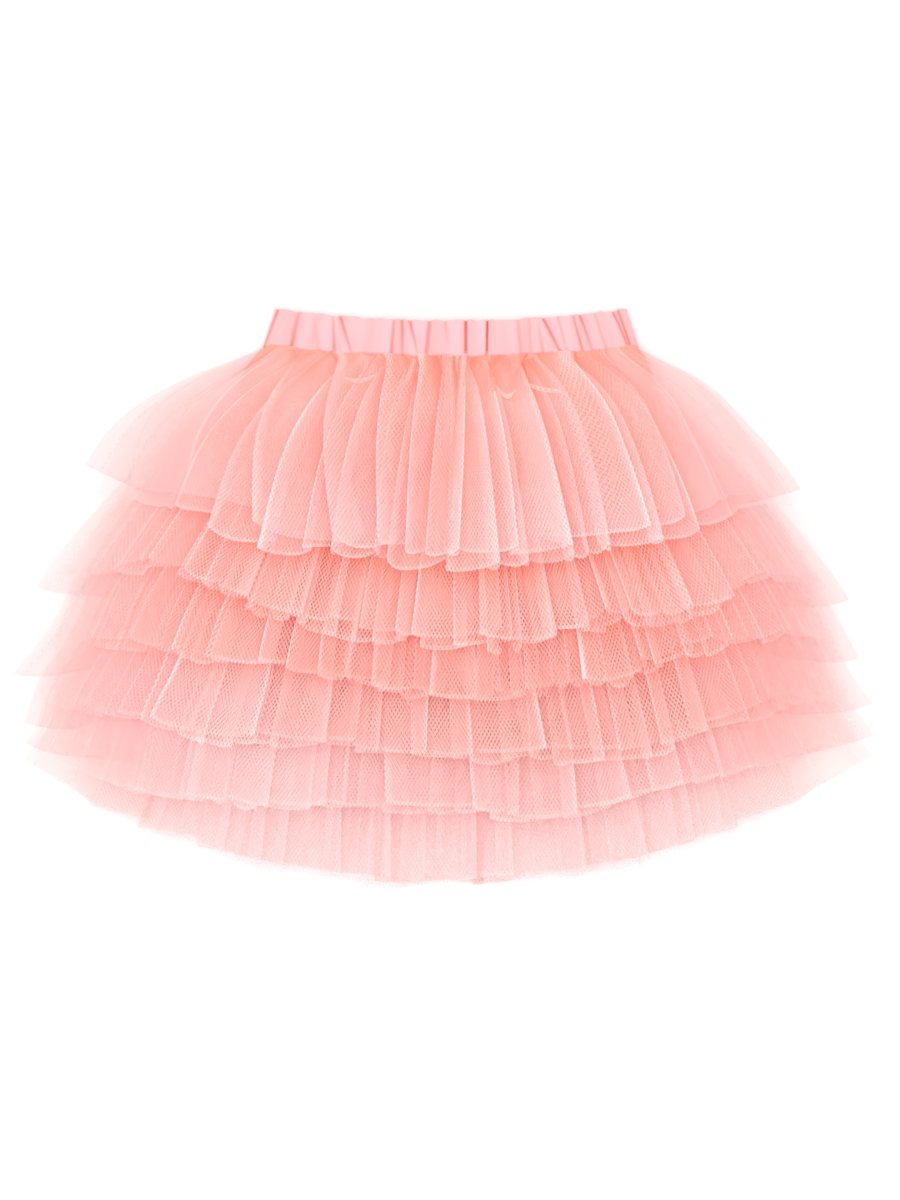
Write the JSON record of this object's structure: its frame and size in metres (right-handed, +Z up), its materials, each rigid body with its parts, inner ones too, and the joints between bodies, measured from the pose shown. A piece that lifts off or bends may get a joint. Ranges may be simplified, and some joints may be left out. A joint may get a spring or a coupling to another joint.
{
  "type": "tulle skirt",
  "caption": "Child's gathered tulle skirt laid out flat, with an elastic waistband and tiers of pleated net sewn row below row to a flared base.",
  "frame": {"origin": "middle of the laid-out skirt's extent across and along, on the surface it lies on", "axes": "+X across the skirt, +Y from the hem to the waist, +Z up from the surface, out of the skirt's front"},
  "size_m": [0.4642, 0.318, 0.0507],
  "materials": {
    "band_cloth": "smooth pink woven cloth, gathered",
    "base_cloth": "plain woven pink cloth, matt",
    "net": "fine open pink net, matt and sheer"
  },
  "bodies": {
    "root": {"waistband_front": "band_cloth", "waistband_back": "band_cloth", "base_front": "base_cloth", "base_back": "base_cloth", "tier_1_front": "net", "tier_1_back": "net", "tier_2_front": "net", "tier_2_back": "net", "tier_3_front": "net", "tier_3_back": "net", "tier_4_front": "net", "tier_4_back": "net", "tier_5_front": "net", "tier_5_back": "net", "tier_6_front": "net", "tier_6_back": "net"}
  },
  "joints": []
}
